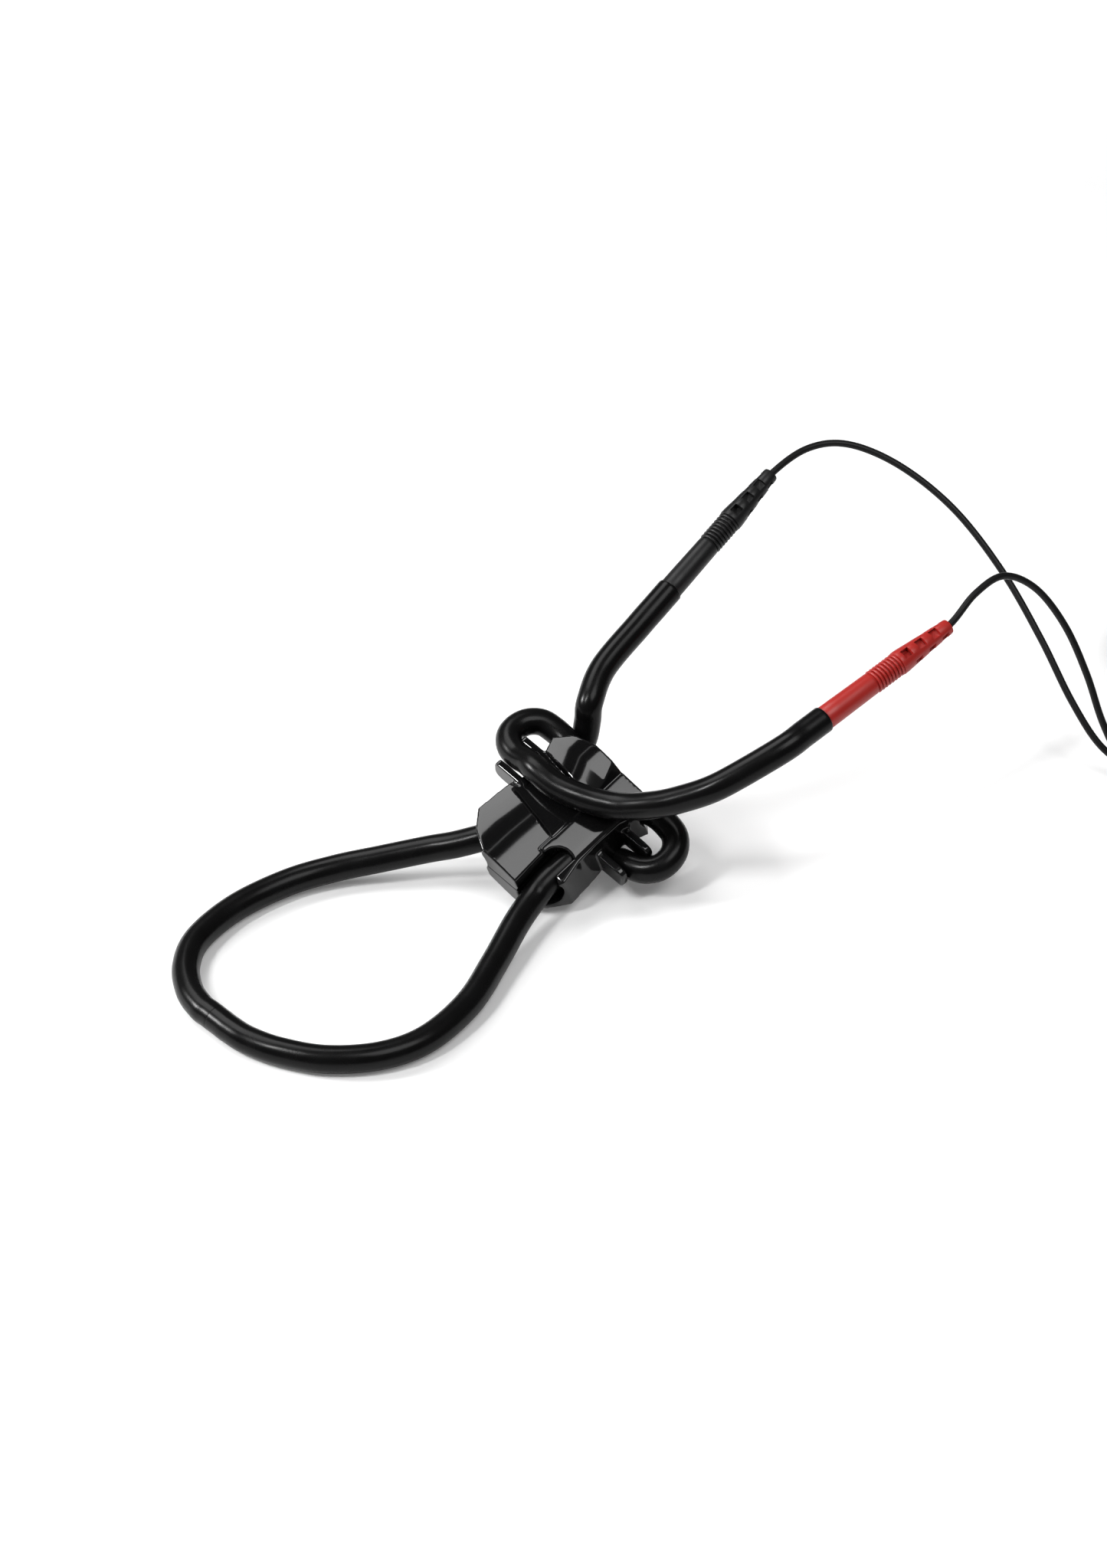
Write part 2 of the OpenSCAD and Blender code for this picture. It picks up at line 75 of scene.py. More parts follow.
# ---- Table and studio light ---------------------------------------------------------------------------
# A pale table, two large soft boxes above it with a thin strip of light between them, and a black card over
# the strip that keeps the glossy mouldings dark where they face straight up. A small key light and an edge
# light draw the bright rims. Away from the object the table glows, so that its far side is plain white.
def nodes_of(material):
    material.use_nodes = True
    return material.node_tree.nodes, material.node_tree.links


def linked(name, mesh):
    obj = bpy.data.objects.new(name, mesh)
    bpy.context.scene.collection.objects.link(obj)
    return obj


def flat_panel(name, width, depth, place):
    mesh = bpy.data.meshes.new(name)
    x, y = width / 2, depth / 2
    mesh.from_pydata([place @ Vector(p) for p in ((-x, -y, 0), (x, -y, 0), (x, y, 0), (-x, y, 0))],
                     [], [(0, 1, 2, 3)])
    return linked(name, mesh)


table_paint = bpy.data.materials.new("pale table")
nodes, links = nodes_of(table_paint)
paint = nodes["Principled BSDF"]
paint.inputs["Base Color"].default_value = (0.9, 0.9, 0.9, 1)
paint.inputs["Roughness"].default_value = 0.55
paint.inputs["Emission Color"].default_value = (1, 1, 1, 1)
spot = nodes.new("ShaderNodeTexCoord")
reach = nodes.new("ShaderNodeVectorMath")
reach.operation = "LENGTH"
glow_start, glow_full = 0.35, 0.8
near_glow, far_glow = 0.12, 1.0
glow = nodes.new("ShaderNodeMapRange")
glow.inputs["From Min"].default_value = glow_start
glow.inputs["From Max"].default_value = glow_full
glow.inputs["To Min"].default_value = near_glow
glow.inputs["To Max"].default_value = far_glow
ray = nodes.new("ShaderNodeLightPath")
lift = nodes.new("ShaderNodeMath")
lift.operation = "MULTIPLY"
links.new(spot.outputs["Object"], reach.inputs[0])
links.new(reach.outputs["Value"], glow.inputs["Value"])
links.new(glow.outputs["Result"], lift.inputs[0])
links.new(ray.outputs["Is Camera Ray"], lift.inputs[1])
links.new(lift.outputs["Value"], paint.inputs["Emission Strength"])
table_width = 8
table = flat_panel("table", table_width, table_width, Matrix.Identity(4))
table.data.materials.append(table_paint)

world = bpy.data.worlds.new("studio")
bpy.context.scene.world = world
world.use_nodes = True
nodes, links = world.node_tree.nodes, world.node_tree.links
ray = nodes.new("ShaderNodeLightPath")
room_light, white_backdrop = 0.12, 1.0
strength = nodes.new("ShaderNodeMapRange")
strength.inputs["To Min"].default_value = room_light
strength.inputs["To Max"].default_value = white_backdrop
links.new(ray.outputs["Is Camera Ray"], strength.inputs["Value"])
links.new(strength.outputs["Result"], nodes["Background"].inputs["Strength"])
nodes["Background"].inputs["Color"].default_value = (1, 1, 1, 1)


def facing_slider(direction, distance):
    way = Vector(direction).normalized()
    turn = way.to_track_quat("Z", "X").to_matrix().to_4x4()
    return Matrix.Translation(slider_centre + distance * way) @ turn


def soft_box(name, direction, distance, length, width, watts):
    light = bpy.data.lights.new(name, "AREA")
    light.shape = "RECTANGLE"
    light.size = length
    light.size_y = width
    light.energy = watts
    obj = bpy.data.objects.new(name, light)
    bpy.context.scene.collection.objects.link(obj)
    obj.matrix_world = facing_slider(direction, distance)
    return obj


# Each line: direction from the slider, distance and sizes in metres, watts
soft_box("soft box, plug side", (0, 0.55, 0.835), 1.1, 0.55, 0.66, 4.9)
soft_box("soft box, near side", (0, -0.44, 0.9), 1.1, 0.55, 0.6, 4.4)
soft_box("strip", (0.05, 0.0, 1), 1.05, 0.9, 0.025, 0.12)
soft_box("key light", (-0.62, 0.62, 0.5), 0.9, 0.16, 0.2, 6.0)
soft_box("edge light", (-0.6, 0.12, 0.79), 0.9, 0.26, 0.07, 3.2)
card_paint = bpy.data.materials.new("black card")
nodes, links = nodes_of(card_paint)
nodes["Principled BSDF"].inputs["Base Color"].default_value = (0.01, 0.01, 0.01, 1)
nodes["Principled BSDF"].inputs["Roughness"].default_value = 0.9
card_length, card_width, card_distance = 1.0, 0.5, 1.15
card = flat_panel("black card", card_length, card_width, facing_slider((0, 0.12, 0.99), card_distance))
card.data.materials.append(card_paint)
card.visible_camera = False
card.visible_diffuse = False
card.visible_shadow = False


# ---- Lead ---------------------------------------------------------------------------------------------
# Two thin black wires leave the plugs, fall to the table and meet in a splitter. From there one lead is
# wound into a stored coil, held by two ties, and ends at its jack. The jacket is soft and extruded.
def smooth_route(points, steps):
    """A smooth curve through the points, by cubic pieces, with that many steps between two points."""
    p = np.array([tuple(q) for q in points], float)
    line = []
    for i in range(len(p) - 1):
        a, b, c, d = p[max(i - 1, 0)], p[i], p[i + 1], p[min(i + 2, len(p) - 1)]
        for t in np.arange(steps) / steps:
            line.append((2 * b + (c - a) * t + (2 * a - 5 * b + 4 * c - d) * t**2
                         + (3 * b - a - 3 * c + d) * t**3) / 2)
    return np.array(line + [p[-1]])


def length_along(line):
    return np.concatenate([[0], np.cumsum(np.linalg.norm(np.diff(line, axis=0), axis=1))])


def evenly(line, step):
    along = length_along(line)
    at = np.linspace(0, along[-1], int(along[-1] / step) + 1)
    return np.stack([np.interp(at, along, line[:, k]) for k in range(3)], axis=1)


def turned_rings(line, radii, sides):
    """Rings of points round a line: each ring keeps the last one's turn, so the tube doesn't twist."""
    way = np.gradient(line, axis=0)
    way /= np.linalg.norm(way, axis=1)[:, None]
    side = np.cross(way[0], (0.1, 0.2, 1))
    angle = np.arange(sides) * 2 * math.pi / sides
    rings = []
    for centre, ahead, radius in zip(line, way, radii):
        side = side - (side @ ahead) * ahead
        side /= np.linalg.norm(side)
        other = np.cross(ahead, side)
        rings.append(centre + radius * (np.outer(np.cos(angle), side) + np.outer(np.sin(angle), other)))
    return np.array(rings)


def tube_mesh(name, rings, along, material):
    """A closed smooth tube through the rings, with a UV map of the turn and the metres along it."""
    count, sides = rings.shape[:2]
    points = np.vstack([rings.reshape(-1, 3), rings[0].mean(0), rings[-1].mean(0)])
    faces, spots = [], []
    for i in range(count - 1):
        for j in range(sides):
            k = (j + 1) % sides
            faces.append((i * sides + j, i * sides + k, (i + 1) * sides + k, (i + 1) * sides + j))
            spots += [(j, i), (j + 1, i), (j + 1, i + 1), (j, i + 1)]
    for j in range(sides):
        k, end = (j + 1) % sides, (count - 1) * sides
        faces.append((count * sides, k, j))
        faces.append((count * sides + 1, end + j, end + k))
        spots += [(j, 0), (j + 1, 0), (j, 0), (j, count - 1), (j, count - 1), (j + 1, count - 1)]
    mesh = bpy.data.meshes.new(name)
    mesh.from_pydata([tuple(p) for p in points], [], faces)
    uv = mesh.uv_layers.new(name="along")
    flat = np.array([(j / sides, along[i]) for j, i in spots], np.float32)
    uv.data.foreach_set("uv", flat.ravel())
    mesh.shade_smooth()
    mesh.materials.append(material)
    return mesh


def extruded(name, colour, roughness, streak):
    """Extruded rubber or jacket: fine lines along the tube, and a faint uneven bloom."""
    material = bpy.data.materials.new(name)
    nodes, links = nodes_of(material)
    skin = nodes["Principled BSDF"]
    skin.inputs["IOR"].default_value = 1.26
    place = nodes.new("ShaderNodeUVMap")
    place.uv_map = "along"
    stretch = nodes.new("ShaderNodeMapping")
    stretch.inputs["Scale"].default_value = (40, 60, 1)
    lines = nodes.new("ShaderNodeTexNoise")
    lines.inputs["Scale"].default_value = 1.0
    lines.inputs["Detail"].default_value = 3
    body_place = nodes.new("ShaderNodeTexCoord")
    bloom = nodes.new("ShaderNodeTexNoise")
    bloom.inputs["Scale"].default_value = 160
    bloom.inputs["Detail"].default_value = 5
    grain = nodes.new("ShaderNodeTexNoise")
    grain.inputs["Scale"].default_value = 2600
    grain.inputs["Detail"].default_value = 2
    shade = nodes.new("ShaderNodeMix")
    shade.data_type = "RGBA"
    shade.inputs["A"].default_value = (*[c * 0.8 for c in colour], 1)
    shade.inputs["B"].default_value = (*[c * 1.25 for c in colour], 1)
    gloss = nodes.new("ShaderNodeMapRange")
    gloss.inputs["From Min"].default_value = 0.3
    gloss.inputs["From Max"].default_value = 0.7
    gloss.inputs["To Min"].default_value = roughness - 0.04
    gloss.inputs["To Max"].default_value = roughness + 0.05
    bump_lines = nodes.new("ShaderNodeBump")
    bump_lines.inputs["Strength"].default_value = streak
    bump_lines.inputs["Distance"].default_value = 0.00004
    bump_grain = nodes.new("ShaderNodeBump")
    bump_grain.inputs["Strength"].default_value = 0.2
    bump_grain.inputs["Distance"].default_value = 0.00001
    links.new(place.outputs["UV"], stretch.inputs["Vector"])
    links.new(stretch.outputs["Vector"], lines.inputs["Vector"])
    links.new(body_place.outputs["Object"], bloom.inputs["Vector"])
    links.new(body_place.outputs["Object"], grain.inputs["Vector"])
    links.new(bloom.outputs["Fac"], shade.inputs["Factor"])
    links.new(shade.outputs["Result"], skin.inputs["Base Color"])
    links.new(bloom.outputs["Fac"], gloss.inputs["Value"])
    links.new(gloss.outputs["Result"], skin.inputs["Roughness"])
    links.new(lines.outputs["Fac"], bump_lines.inputs["Height"])
    links.new(grain.outputs["Fac"], bump_grain.inputs["Height"])
    links.new(bump_lines.outputs["Normal"], bump_grain.inputs["Normal"])
    links.new(bump_grain.outputs["Normal"], skin.inputs["Normal"])
    return material


jacket = extruded("lead jacket", (0.008, 0.008, 0.0083), 0.35, 0.3)
branch_d = 1.7
lead_d = 2.2


def axis_of(pitch, yaw):
    pitch, yaw = math.radians(pitch), math.radians(yaw)
    return Vector((math.cos(pitch) * math.cos(yaw), math.cos(pitch) * math.sin(yaw), math.sin(pitch)))


red_end = Vector((47, -38.5, 42))
red_axis = axis_of(11, -4)
black_end = Vector((57, 20.5, 42))
black_axis = axis_of(20.5, 4.5)
plug_length = 39.5
splitter_base = Vector((136, -73.5, 2.2))
splitter_axis = axis_of(0, 40)
splitter_side = Vector((-splitter_axis.y, splitter_axis.x, 0))
splitter_length = 14
branch_spacing = 3.8
coil_centre = Vector((168, -49.5, 2.1))
coil_outer_r = 16
coil_step = 2.7
coil_layers = 4
coil_turns = 11.25
jack_start = Vector((191.5, -38.5, 3.8))

wire_start, wire_middle = 16, 26
red_lead_route = [
    red_end + wire_start * red_axis, red_end + wire_middle * red_axis, red_end + plug_length * red_axis,
    (95.8, -40.3, 53.2), (105, -41, 54), (112.5, -45, 48.5), (116.5, -51.5, 39), (117.5, -58.5, 28),
    (117, -65, 17.5), (118, -71.5, 8.5), (122, -76.7, 3.4), (129, -77.7, 2.2),
    splitter_base - branch_spacing / 2 * splitter_side - 3 * splitter_axis,
    splitter_base - branch_spacing / 2 * splitter_side]
black_lead_route = [
    black_end + wire_start * black_axis, black_end + wire_middle * black_axis,
    black_end + plug_length * black_axis,
    (106, 22.6, 58), (114.5, 17, 57.8), (120.5, 5.5, 54.3), (123.8, -9.5, 47.5), (124, -25.5, 37.5),
    (122, -40.5, 26.5), (119.5, -53.5, 16), (119.5, -63.5, 8), (123.5, -71, 3.2), (129, -73.8, 2.2),
    splitter_base + branch_spacing / 2 * splitter_side - 3 * splitter_axis,
    splitter_base + branch_spacing / 2 * splitter_side]
main_lead_route = [
    splitter_base + splitter_length * splitter_axis, splitter_base + (splitter_length + 2.5) * splitter_axis,
    (151, -59, 2.1), coil_centre + Vector((-coil_outer_r, -5, 0)),
    coil_centre + Vector((-coil_outer_r, -lead_d, 0))]
coil_top = coil_centre + Vector((0, coil_outer_r, (coil_layers - 1) * coil_step))
jack_lead_route = [
    coil_top + Vector((lead_d, 0, 0)), coil_top + Vector((6, 0, -0.4)), (181.5, -32.7, 7.4),
    (188, -33.1, 5.2), jack_start + Vector((-0.4, 3, 0)), jack_start]


def coil_line():
    """The stored coil: it winds in and out by turns and climbs a layer in the half turn at each reversal."""
    layer_turns = coil_turns / coil_layers
    points_per_turn = 36
    t = np.arange(0, coil_turns, 1 / points_per_turn)
    layer = np.floor(t / layer_turns)
    done = t - layer * layer_turns
    inward = np.where(layer % 2 == 0, done, layer_turns - done)
    stations = np.array([k * layer_turns + 0.25 * e for k in range(1, coil_layers) for e in (-1, 1)])
    heights = np.array([k - 0.5 + 0.5 * e for k in range(1, coil_layers) for e in (-1, 1)])
    r = coil_outer_r - coil_step * inward
    turn = math.pi - 2 * math.pi * t
    return np.stack([
        coil_centre.x + r * np.cos(turn), coil_centre.y + r * np.sin(turn),
        coil_centre.z + coil_step * np.interp(t, stations, heights)], axis=1)


def lay_cord(name, line, diameter, sides):
    rings = turned_rings(line * mm, np.full(len(line), diameter / 2 * mm), sides)
    return linked(name, tube_mesh(name, rings, length_along(line * mm), jacket))


branch_sides, lead_sides = 20, 16
branch_ring_step, lead_ring_step = 1.2, 1.1
route_steps = 12
red_line = evenly(smooth_route(red_lead_route, route_steps), branch_ring_step)
red_wire = lay_cord("red_branch_wire", red_line, branch_d, branch_sides)
black_line = evenly(smooth_route(black_lead_route, route_steps), branch_ring_step)
black_wire = lay_cord("black_branch_wire", black_line, branch_d, branch_sides)
main_line = evenly(np.vstack([
    smooth_route(main_lead_route, route_steps), coil_line()[1:], [tuple(coil_top)],
    smooth_route(jack_lead_route, route_steps)]), lead_ring_step)
main_lead = lay_cord("main_lead", main_line, lead_d, lead_sides)
for wire, nodes_under in ((red_wire, ["red_lead_wire"]), (black_wire, ["black_lead_wire"]),
                          (main_lead, ["main_lead_wire", "main_lead_coil", "jack_lead_wire"])):
    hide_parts(*nodes_under)
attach(main_lead, "slider_and_lead")
for wire, plug, end, axis in ((red_wire, "red_plug", red_end, red_axis),
                              (black_wire, "black_plug", black_end, black_axis)):
    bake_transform(wire)


# ---- Splitter -----------------------------------------------------------------------------------------
# A small flat moulding over the fork, softly rounded, with thin grip lines across it. It is moulded on
# the wires in the same soft black plastic as the jack.
def moulded(name, colour, roughness, grain_size, grain_depth, **sockets):
    """Injection-moulded plastic: slightly uneven colour and gloss, and the tool's fine spark texture."""
    material = bpy.data.materials.new(name)
    nodes, links = nodes_of(material)
    skin = nodes["Principled BSDF"]
    for socket, value in sockets.items():
        skin.inputs[socket.replace("_", " ")].default_value = value
    place = nodes.new("ShaderNodeTexCoord")
    cloud = nodes.new("ShaderNodeTexNoise")
    cloud.inputs["Scale"].default_value = 90
    cloud.inputs["Detail"].default_value = 4
    spark = nodes.new("ShaderNodeTexNoise")
    spark.inputs["Scale"].default_value = 1 / grain_size
    spark.inputs["Detail"].default_value = 3
    shade = nodes.new("ShaderNodeMix")
    shade.data_type = "RGBA"
    shade.inputs["A"].default_value = (*[c * 0.9 for c in colour], 1)
    shade.inputs["B"].default_value = (*[min(1, c * 1.1) for c in colour], 1)
    gloss = nodes.new("ShaderNodeMapRange")
    gloss.inputs["From Min"].default_value = 0.3
    gloss.inputs["From Max"].default_value = 0.7
    gloss.inputs["To Min"].default_value = roughness * 0.88
    gloss.inputs["To Max"].default_value = roughness * 1.12
    bump = nodes.new("ShaderNodeBump")
    bump.inputs["Strength"].default_value = 0.5
    bump.inputs["Distance"].default_value = grain_depth
    links.new(place.outputs["Object"], cloud.inputs["Vector"])
    links.new(place.outputs["Object"], spark.inputs["Vector"])
    links.new(cloud.outputs["Fac"], shade.inputs["Factor"])
    links.new(shade.outputs["Result"], skin.inputs["Base Color"])
    links.new(cloud.outputs["Fac"], gloss.inputs["Value"])
    links.new(gloss.outputs["Result"], skin.inputs["Roughness"])
    links.new(spark.outputs["Fac"], bump.inputs["Height"])
    links.new(bump.outputs["Normal"], skin.inputs["Normal"])
    return material


def closed_rings(name, rings, material):
    """A closed smooth body through rings of points that may have any outline."""
    return linked(name, tube_mesh(name, rings, length_along(rings.mean(1)), material))


soft_black = moulded("soft black moulding", (0.035, 0.035, 0.036), 0.45, 0.00035, 0.00002)
grip_start, grip_end, grip_pitch, grip_depth = 2, 11, 1.6, 0.12
squareness, splitter_sides = 0.75, 32
steps = np.array([0, 0.15, 0.6, 1.4, *np.linspace(2.2, grip_end, 23), 12, 13, 13.7, splitter_length])
gripped = (steps > grip_start) & (steps < grip_end)
grip = grip_depth * np.where(gripped, np.sin(steps * 2 * math.pi / grip_pitch), 0)
half_widths = np.interp(steps, [0, 0.6, 7, 14], [3.3, 3.7, 3.7, 1.6]) - grip
half_heights = np.interp(steps, [0, 0.6, 7, 14], [1.5, 1.8, 1.8, 1.6]) - grip / 2
end_rounding = np.interp(steps, [0, 0.15, 0.6, 13.4, 13.8, 14], [0.86, 0.94, 1, 1, 0.95, 0.86])
angle = np.arange(splitter_sides) * 2 * math.pi / splitter_sides
rings = []
for x, half_width, half_height, rounding in zip(steps, half_widths, half_heights, end_rounding):
    y = np.sign(np.cos(angle)) * np.abs(np.cos(angle)) ** squareness * half_width * rounding
    z = np.sign(np.sin(angle)) * np.abs(np.sin(angle)) ** squareness * half_height * rounding
    centre = splitter_base + float(x) * splitter_axis
    rings.append([tuple((centre + a * splitter_side + Vector((0, 0, b))) * mm)
                  for a, b in zip(y.tolist(), z.tolist())])
splitter = closed_rings("lead_fork_moulding", np.array(rings), soft_black)
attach(splitter, "slider_and_lead")
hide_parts("lead_splitter")


# ---- Coil ties ----------------------------------------------------------------------------------------
# Two flat woven hook-and-loop straps hold the coil's turns together, a quarter turn apart. Each goes once
# round all four layers.
def strap_mesh(name, outline, width, thickness, material):
    """A flat strap along a closed outline in the x, z plane, with rounded edges."""
    count = len(outline)
    ahead = np.roll(outline, -1, 0) - np.roll(outline, 1, 0)
    ahead /= np.linalg.norm(ahead, axis=1)[:, None]
    outward = np.stack([ahead[:, 1], -ahead[:, 0]], axis=1)
    edge = 0.15
    half = width / 2
    section = [(0, -half + edge), (0, half - edge), (edge, half), (thickness - edge, half),
               (thickness, half - edge), (thickness, -half + edge), (thickness - edge, -half), (edge, -half)]
    points, faces = [], []
    for p, n in zip(outline, outward):
        points += [(p[0] + n[0] * depth, y, p[1] + n[1] * depth) for depth, y in section]
    size = len(section)
    for i in range(count):
        for j in range(size):
            k, m = (j + 1) % size, (i + 1) % count
            faces.append((i * size + j, m * size + j, m * size + k, i * size + k))
    mesh = bpy.data.meshes.new(name)
    mesh.from_pydata(points, [], faces)
    mesh.shade_smooth()
    mesh.materials.append(material)
    return mesh


def rounded_box_outline(x0, x1, z0, z1, radius, steps=8):
    corners = [(x1 - radius, z1 - radius, 0), (x0 + radius, z1 - radius, 90),
               (x0 + radius, z0 + radius, 180), (x1 - radius, z0 + radius, 270)]
    outline = []
    for x, z, start in corners:
        for k in range(steps + 1):
            a = math.radians(start + 90 * k / steps)
            outline.append((x + radius * math.cos(a), z + radius * math.sin(a)))
    return np.array(outline)[::-1]


strap_weave = moulded("strap weave", (0.045, 0.045, 0.046), 0.85, 0.0005, 0.00012, Sheen_Weight=0.3)
tie_width = 6
tie_thickness = 0.9
innermost_r = coil_outer_r - coil_step * coil_turns / coil_layers - lead_d / 2
tie_inner = math.sqrt(innermost_r**2 - (tie_width / 2) ** 2) - 0.1
tie_outer = coil_outer_r + lead_d / 2 + 0.1
tie_height = (coil_layers - 1) * coil_step + lead_d + 0.2
tie_top = tie_thickness + tie_height
tie_corner_r = 0.9
for number, turn in enumerate((0, -90)):
    outline = rounded_box_outline(tie_inner, tie_outer, tie_thickness, tie_top, tie_corner_r)
    name = f"coil_tie_{number + 1}"
    tie = linked(name, strap_mesh(name, outline, tie_width, tie_thickness, strap_weave))
    tie.data.transform(Matrix.Scale(mm, 4) @ Matrix.Translation((coil_centre.x, coil_centre.y, 0))
                       @ Matrix.Rotation(math.radians(turn), 4, "Z"))
    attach(tie, "slider_and_lead")
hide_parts("coil_ties")


# ---- Jack ---------------------------------------------------------------------------------------------
# The far end's mono jack: a turned nickel-plated sleeve and tip with a black ring between them, in a
# black moulding with a ribbed grip and a slim strain relief.
def revolved(name, profile, sides, place, material):
    """A closed turned body: profile is a list of (distance along the axis, radius), in millimetres."""
    angle = np.arange(sides) * 2 * math.pi / sides
    rings = np.array([[(x, r * math.cos(a), r * math.sin(a)) for a in angle] for x, r in profile])
    mesh = tube_mesh(name, rings, length_along(np.array([(x, r, 0) for x, r in profile])) * mm, material)
    mesh.transform(place)
    return linked(name, mesh)


def along_axis(start, axis):
    """Takes millimetres along, across and over an axis from its start to the object's frame."""
    across = Vector((-axis.y, axis.x, 0)).normalized()
    turn = Matrix((axis, across, axis.cross(across))).transposed().to_4x4()
    return Matrix.Scale(mm, 4) @ Matrix.Translation(start) @ turn


def ring_row_tree(name, material):
    """Geometry Nodes: a straight row of round rings, such as moulded grip ribs."""
    tree = bpy.data.node_groups.new(name, "GeometryNodeTree")
    for label, kind in (("Count", "NodeSocketInt"), ("Pitch", "NodeSocketFloat"),
                        ("Ring Radius", "NodeSocketFloat"), ("Bead Radius", "NodeSocketFloat")):
        tree.interface.new_socket(label, in_out="INPUT", socket_type=kind)
    tree.interface.new_socket("Geometry", in_out="OUTPUT", socket_type="NodeSocketGeometry")
    add, join = tree.nodes.new, tree.links.new
    sizes, result = add("NodeGroupInput"), add("NodeGroupOutput")
    row = add("GeometryNodeMeshLine")
    step = add("ShaderNodeCombineXYZ")
    ring = add("GeometryNodeCurvePrimitiveCircle")
    ring.inputs["Resolution"].default_value = 48
    bead = add("GeometryNodeCurvePrimitiveCircle")
    bead.inputs["Resolution"].default_value = 10
    sweep = add("GeometryNodeCurveToMesh")
    turn = add("GeometryNodeTransform")
    turn.inputs["Rotation"].default_value = (0, math.pi / 2, 0)
    smooth = add("GeometryNodeSetShadeSmooth")
    place = add("GeometryNodeInstanceOnPoints")
    real = add("GeometryNodeRealizeInstances")
    paint = add("GeometryNodeSetMaterial")
    paint.inputs["Material"].default_value = material
    join(sizes.outputs["Count"], row.inputs["Count"])
    join(sizes.outputs["Pitch"], step.inputs["X"])
    join(step.outputs["Vector"], row.inputs["Offset"])
    join(sizes.outputs["Ring Radius"], ring.inputs["Radius"])
    join(sizes.outputs["Bead Radius"], bead.inputs["Radius"])
    join(ring.outputs["Curve"], sweep.inputs["Curve"])
    join(bead.outputs["Curve"], sweep.inputs["Profile Curve"])
    join(sweep.outputs["Mesh"], turn.inputs["Geometry"])
    join(turn.outputs["Geometry"], smooth.inputs["Geometry"])
    join(row.outputs["Mesh"], place.inputs["Points"])
    join(smooth.outputs["Geometry"], place.inputs["Instance"])
    join(place.outputs["Instances"], real.inputs["Geometry"])
    join(real.outputs["Geometry"], paint.inputs["Geometry"])
    join(paint.outputs["Geometry"], result.inputs["Geometry"])
    return tree


def ring_row(name, tree, count, pitch, ring_radius, bead_radius, first, place):
    """Runs the tree on an empty mesh and keeps the result as a plain mesh, starting at first."""
    carrier = linked(name + "_carrier", bpy.data.meshes.new(name + "_carrier"))
    modifier = carrier.modifiers.new("rings", "NODES")
    modifier.node_group = tree
    named = {item.name: item.identifier for item in tree.interface.items_tree if item.in_out == "INPUT"}
    for label, value in (("Count", count), ("Pitch", pitch), ("Ring Radius", ring_radius),
                         ("Bead Radius", bead_radius)):
        modifier[named[label]] = value
    seen = carrier.evaluated_get(bpy.context.evaluated_depsgraph_get())
    mesh = bpy.data.meshes.new_from_object(seen)
    carrier.modifiers.remove(modifier)
    bpy.data.objects.remove(carrier)
    mesh.name = name
    mesh.transform(place @ Matrix.Translation((first, 0, 0)))
    return linked(name, mesh)


plated = moulded("nickel plate", (0.72, 0.71, 0.69), 0.16, 0.0004, 0.000004, Metallic=1.0)
ring_black = moulded("black insulator", (0.01, 0.01, 0.01), 0.4, 0.0004, 0.00001)
at_jack = along_axis(jack_start, Vector((0, -1, 0)))
jack_sides, relief_sides = 64, 40
jack_body = revolved("jack_grip", [
    (8.9, 2.0), (9, 2.25), (12, 3.15), (13.4, 3.65), (14, 3.72), (14.4, 3.5), (21.6, 3.5), (22, 3.72),
    (22.5, 3.78), (25, 3.78), (25.5, 3.6), (26, 3.05), (26, 2.2)], jack_sides, at_jack, soft_black)
jack_ribs = ring_row("jack_grip_ribs", ring_row_tree("jack ribs", soft_black), count=8, pitch=0.9,
                     ring_radius=3.45, bead_radius=0.3, first=14.9, place=at_jack)
groove_count, groove_pitch, groove_growth = 9, 0.9, 0.04
groove = ((0, 0), (0.15, -0.12), (0.4, -0.12), (0.55, 0))
grooves = [(0.6 + groove_pitch * k + x, 1.45 + groove_growth * k + r) for k in range(groove_count)
           for x, r in groove]
jack_relief = revolved("jack_relief", [(0, 1.3), (0.2, 1.42), *grooves, (9, 1.8)], relief_sides, at_jack,
                       soft_black)
for piece in (jack_body, jack_ribs, jack_relief):
    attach(piece, "slider_and_lead")
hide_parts("jack_moulding")
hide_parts("jack_strain_relief")


def finish_node(name, material):
    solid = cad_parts[name]
    solid.data.materials.clear()
    solid.data.materials.append(material)
    return solid


for name in ("jack_sleeve", "jack_tip"):
    finish_node(name, plated)
finish_node("jack_insulator", ring_black)


# ---- Slider -------------------------------------------------------------------------------------------
# Two equal shells in high-gloss black plastic, one turned over on the other. Each has a raised crown cut
# by a channel, a lobe over the other's tunnel, and two flat fingers that hold the crossing tail. The
# slider's own axes: u along it towards the plugs, v across it, w up from the parting line.
slider_pitch = math.radians(16.5)
slider_roll = math.radians(15.5)
slider_to_object = (Matrix.Scale(mm, 4) @ Matrix.Translation(slider_centre / mm)
                    @ Matrix.Rotation(-slider_pitch, 4, "Y") @ Matrix.Rotation(slider_roll, 4, "X"))
half_length = 19
tunnel_v = 8.3
tunnel_r = 3.5
roof_r = 4.5
seam_w = 3.6
crown_start, crown_end = -11.3, 14
crown_lift = 1.5
crown_foot_v = -6
gloss_black = moulded("high-gloss black", (0.004, 0.004, 0.0042), 0.09, 0.0016, 0.000004)


def table_of(*pairs):
    """A measure that changes along the slider: pairs of a place along it and the measure there."""
    at, value = zip(*pairs)
    return lambda u: float(np.interp(u, at, value))


